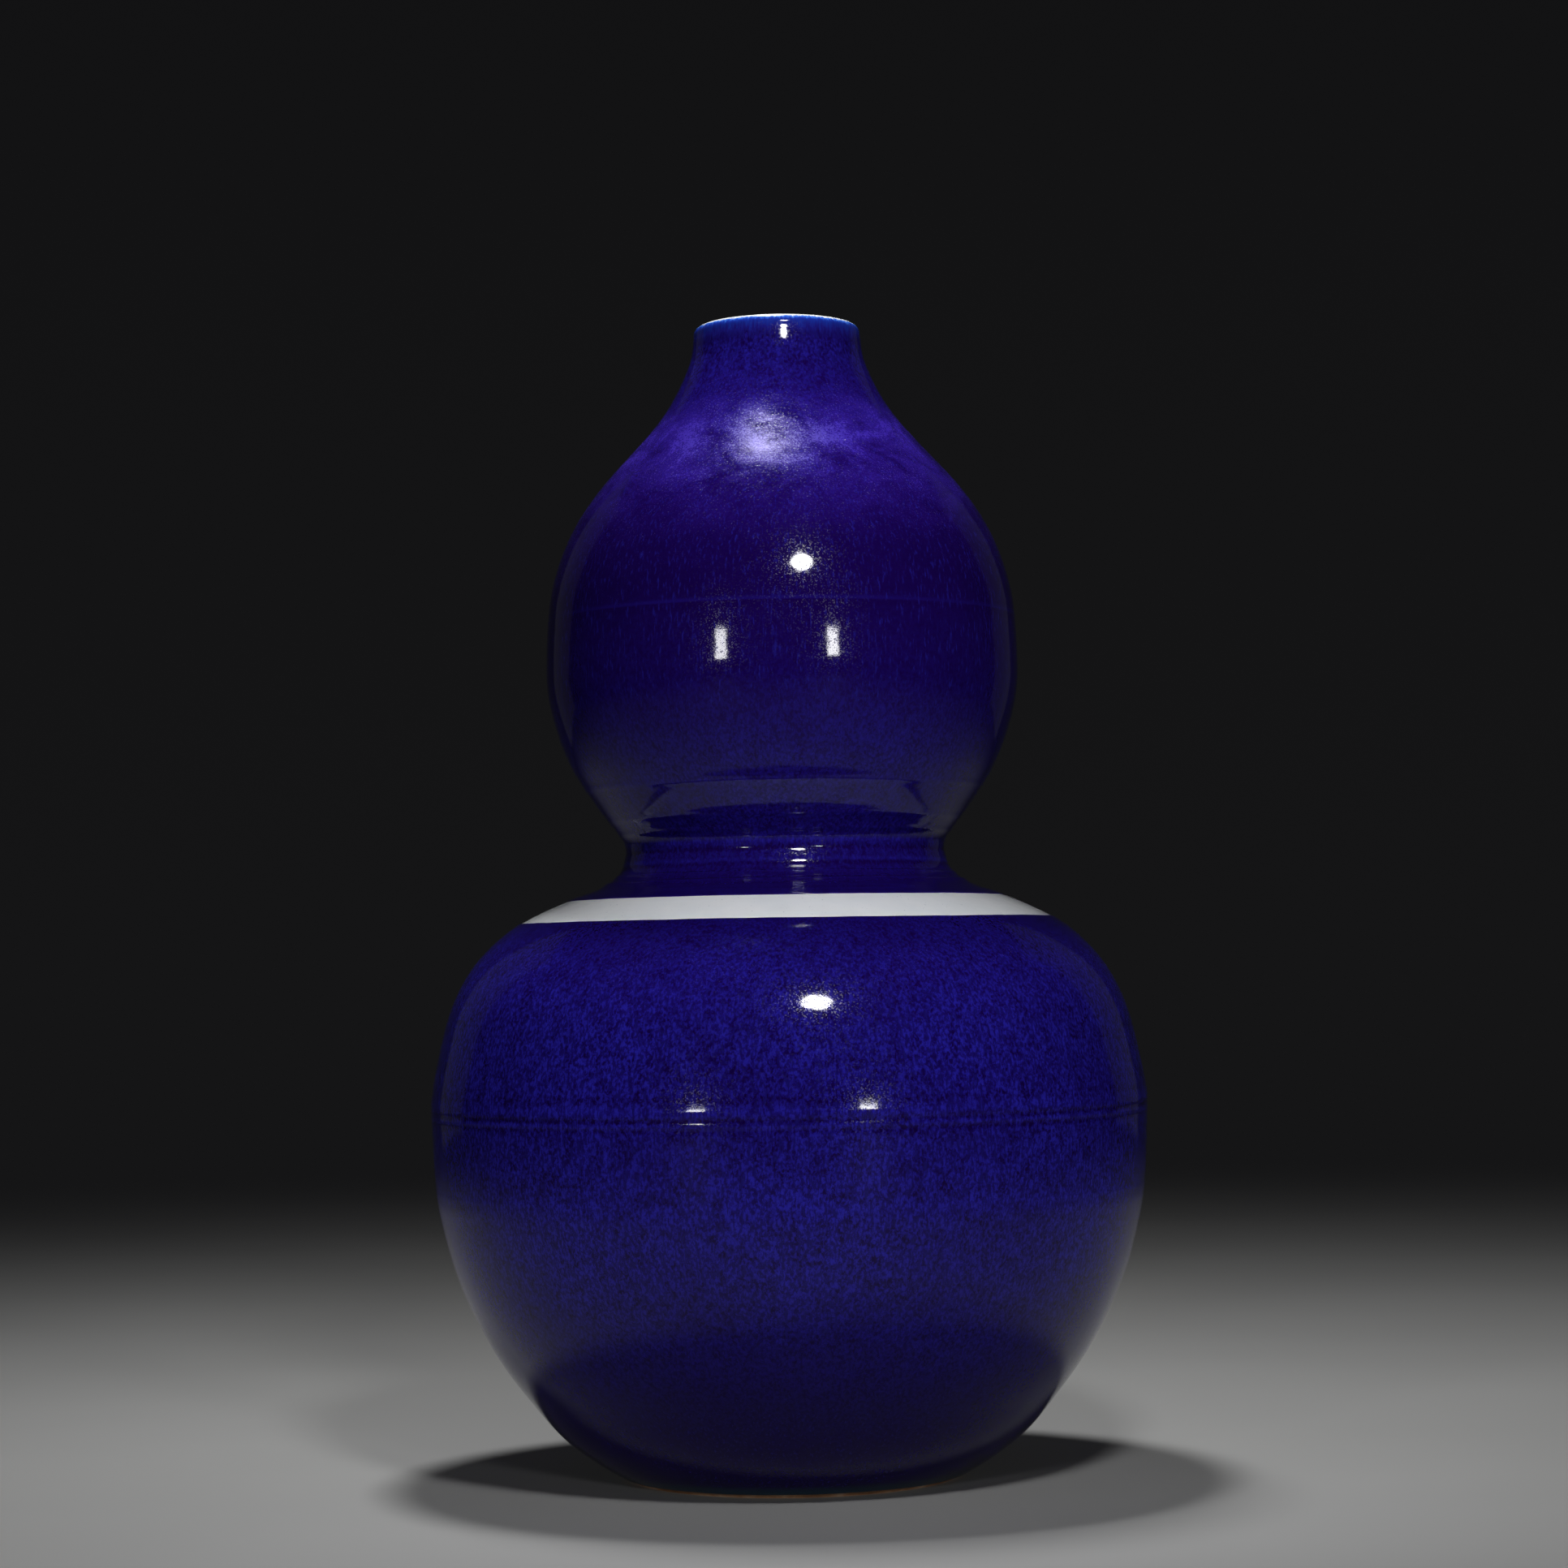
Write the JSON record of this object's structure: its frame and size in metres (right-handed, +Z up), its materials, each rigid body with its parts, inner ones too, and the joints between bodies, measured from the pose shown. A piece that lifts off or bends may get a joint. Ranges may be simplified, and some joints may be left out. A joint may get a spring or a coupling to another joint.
{
  "type": "double gourd vase",
  "caption": "Tall double gourd vase: a small bulb over a large one, with a narrow waist, a short tapering neck and a turned foot, in mottled dark blue glaze with a white band.",
  "frame": {"origin": "centre of the foot, on the surface that the vase stands on", "axes": "+Z up the axis of turning, from the foot to the mouth; X and Y are alike, and the picture looks along +Y"},
  "size_m": [0.3102, 0.3102, 0.5],
  "materials": {
    "clear_glazed_porcelain": "gloss",
    "luting_slip": "gloss",
    "burnt_biscuit": "matte",
    "drained_glaze": "gloss",
    "powder_blue_upper": "gloss",
    "powder_blue_lower": "gloss",
    "white_glaze": "gloss"
  },
  "bodies": {
    "root": {"neck_section": "clear_glazed_porcelain", "upper_bulb_cap": "clear_glazed_porcelain", "upper_bulb_cup": "clear_glazed_porcelain", "shoulder_section": "clear_glazed_porcelain", "belly_section": "clear_glazed_porcelain", "lower_wall_section": "clear_glazed_porcelain", "base_disc": "clear_glazed_porcelain", "foot_ring": "burnt_biscuit", "neck_slip": "luting_slip", "upper_bulb_slip": "luting_slip", "waist_slip": "luting_slip", "belly_slip": "luting_slip", "crease_slip": "luting_slip", "base_slip": "luting_slip", "foot_slip": "luting_slip", "lip_glaze": "drained_glaze", "upper_glaze": "powder_blue_upper", "band_glaze": "white_glaze", "lower_glaze": "powder_blue_lower"}
  },
  "joints": []
}
